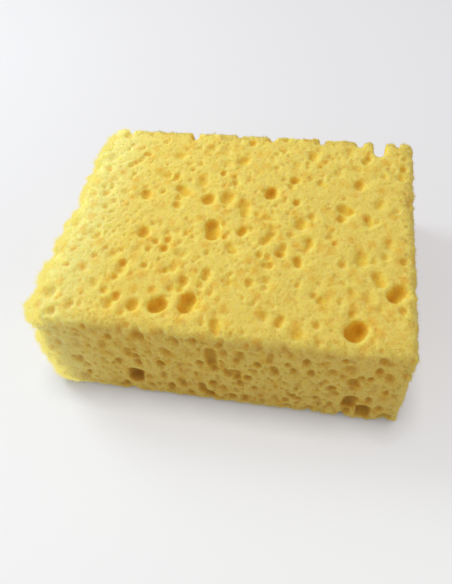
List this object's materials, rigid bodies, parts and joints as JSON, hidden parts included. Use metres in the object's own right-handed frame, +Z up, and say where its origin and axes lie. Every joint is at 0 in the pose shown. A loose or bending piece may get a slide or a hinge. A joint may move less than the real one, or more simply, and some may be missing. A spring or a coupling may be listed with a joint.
{
  "type": "cleaning sponge",
  "caption": "Rectangular block of soft open-cell foam with large open pores, soft edges and a torn back edge, for washing and wiping.",
  "frame": {"origin": "middle of the large face that the sponge rests on", "axes": "+X along the length, +Y along the depth, away from the viewer, +Z up through the thickness"},
  "size_m": [0.14, 0.112, 0.048],
  "materials": {
    "foam": "matte dry open-cell foam, pale lemon yellow with deeper orange pores"
  },
  "bodies": {
    "root": {"sponge": "foam"}
  },
  "joints": []
}
